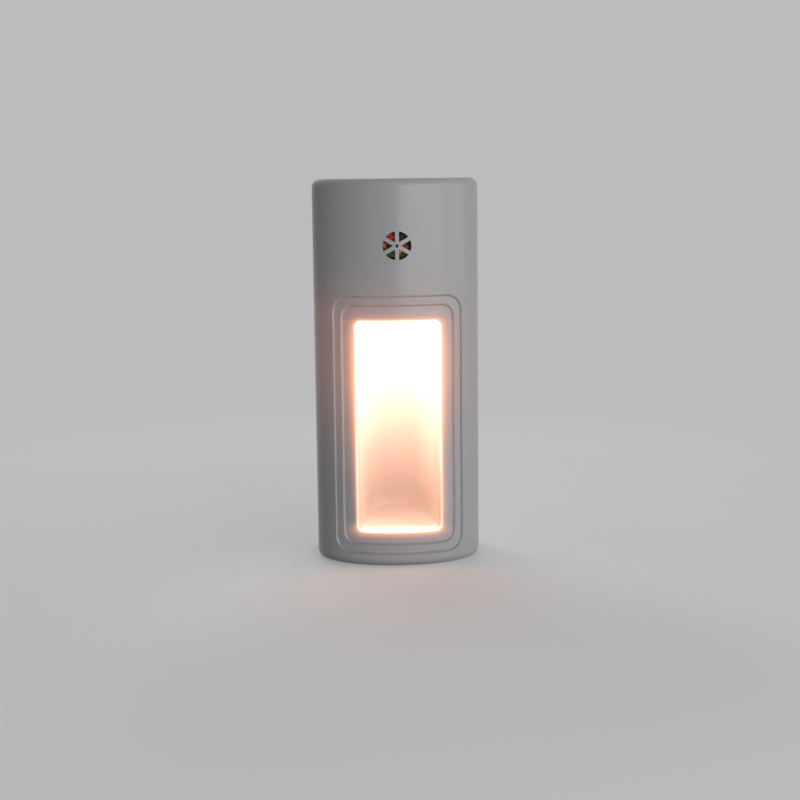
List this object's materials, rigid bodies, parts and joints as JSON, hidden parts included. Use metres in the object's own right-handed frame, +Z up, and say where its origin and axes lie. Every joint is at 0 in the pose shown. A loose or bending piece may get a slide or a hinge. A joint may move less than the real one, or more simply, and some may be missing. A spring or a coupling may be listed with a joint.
{
  "type": "plug-in night light",
  "caption": "Bowed white plug-in night light with a lit window in a stepped bezel, a dusk sensor behind a round grille and a flat-blade plug on its back.",
  "frame": {"origin": "midway between the two plug blades, on the flat rear face that meets the socket", "axes": "+Z up along the case, +Y along the blades into the socket, the lit front faces -Y"},
  "size_m": [0.044, 0.0475, 0.102],
  "materials": {
    "case_white": "satin injection-moulded white ABS",
    "diffuser_milk": "milky translucent polycarbonate, lit warm white",
    "tray_white": "matt white reflector plastic",
    "screw_steel": "zinc-plated self-tapping screw",
    "board_white": "white solder mask",
    "led_phosphor": "warm-white LED package with yellow phosphor",
    "blade_nickel": "nickel-plated brass, rolled and sheared",
    "retainer_grey": "grey flame-retardant plastic",
    "wire_red": "PVC insulation",
    "wire_black": "PVC insulation",
    "wire_white": "PVC insulation",
    "board_green": "olive-green solder mask on fibreglass",
    "cell_ceramic": "clear-coated ceramic with red cadmium sulphide track",
    "lead_tin": "tinned copper wire",
    "film_red": "dipped red epoxy",
    "can_sleeve": "shrunk dark blue sleeve on an aluminium can",
    "moulding_black": "black moulding compound",
    "diode_glass": "orange glass package",
    "resistor_tan": "lacquered carbon film",
    "resistor_grey": "flameproof grey-green coating"
  },
  "bodies": {
    "root": {"front_cover": "case_white", "rear_housing": "case_white", "case_screws": "screw_steel", "diffuser_window": "diffuser_milk", "light_tray": "tray_white", "tray_screws": "screw_steel", "led_board": "board_white", "leds": "led_phosphor", "led_wire_positive": "wire_red", "led_wire_negative": "wire_black", "blade_left": "blade_nickel", "blade_right": "blade_nickel", "blade_retainer": "retainer_grey", "retainer_screws": "screw_steel", "live_wire": "wire_red", "neutral_wire": "wire_white", "main_board": "board_green", "board_screws": "screw_steel", "photocell": "cell_ceramic", "photocell_leads": "lead_tin", "film_capacitor": "film_red", "smoothing_capacitor": "can_sleeve", "transistor": "moulding_black", "rectifier_diodes": "moulding_black", "zener_diode": "diode_glass", "fuse_resistor": "resistor_grey", "bleeder_resistor": "resistor_tan", "bias_resistors": "resistor_tan"}
  },
  "joints": []
}
